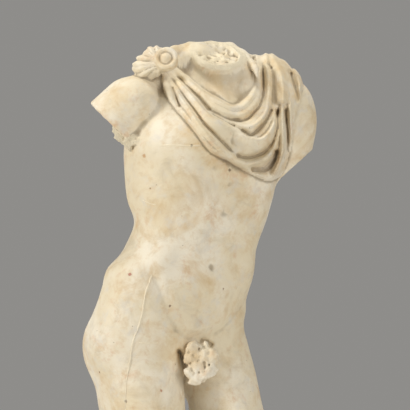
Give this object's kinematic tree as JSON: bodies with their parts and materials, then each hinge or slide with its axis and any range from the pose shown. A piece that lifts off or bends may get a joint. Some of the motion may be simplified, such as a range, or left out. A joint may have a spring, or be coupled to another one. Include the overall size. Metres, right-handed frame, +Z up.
{
  "type": "headless draped male statue",
  "caption": "Headless, armless standing youth in plaster, with a short pinned cloak and a leaf, cast with its ground and set on a low moulded plinth.",
  "frame": {"origin": "middle of the plinth's underside", "axes": "+Z up, -Y the way the plinth's front and the chest face, +X the figure's left"},
  "size_m": [0.6, 0.5, 1.729],
  "materials": {
    "aged_plaster": "matt aged cream plaster with stains and mould seams",
    "plinth_plaster": "matt painted plaster"
  },
  "bodies": {
    "root": {"figure": "aged_plaster", "plinth": "plinth_plaster"}
  },
  "joints": []
}
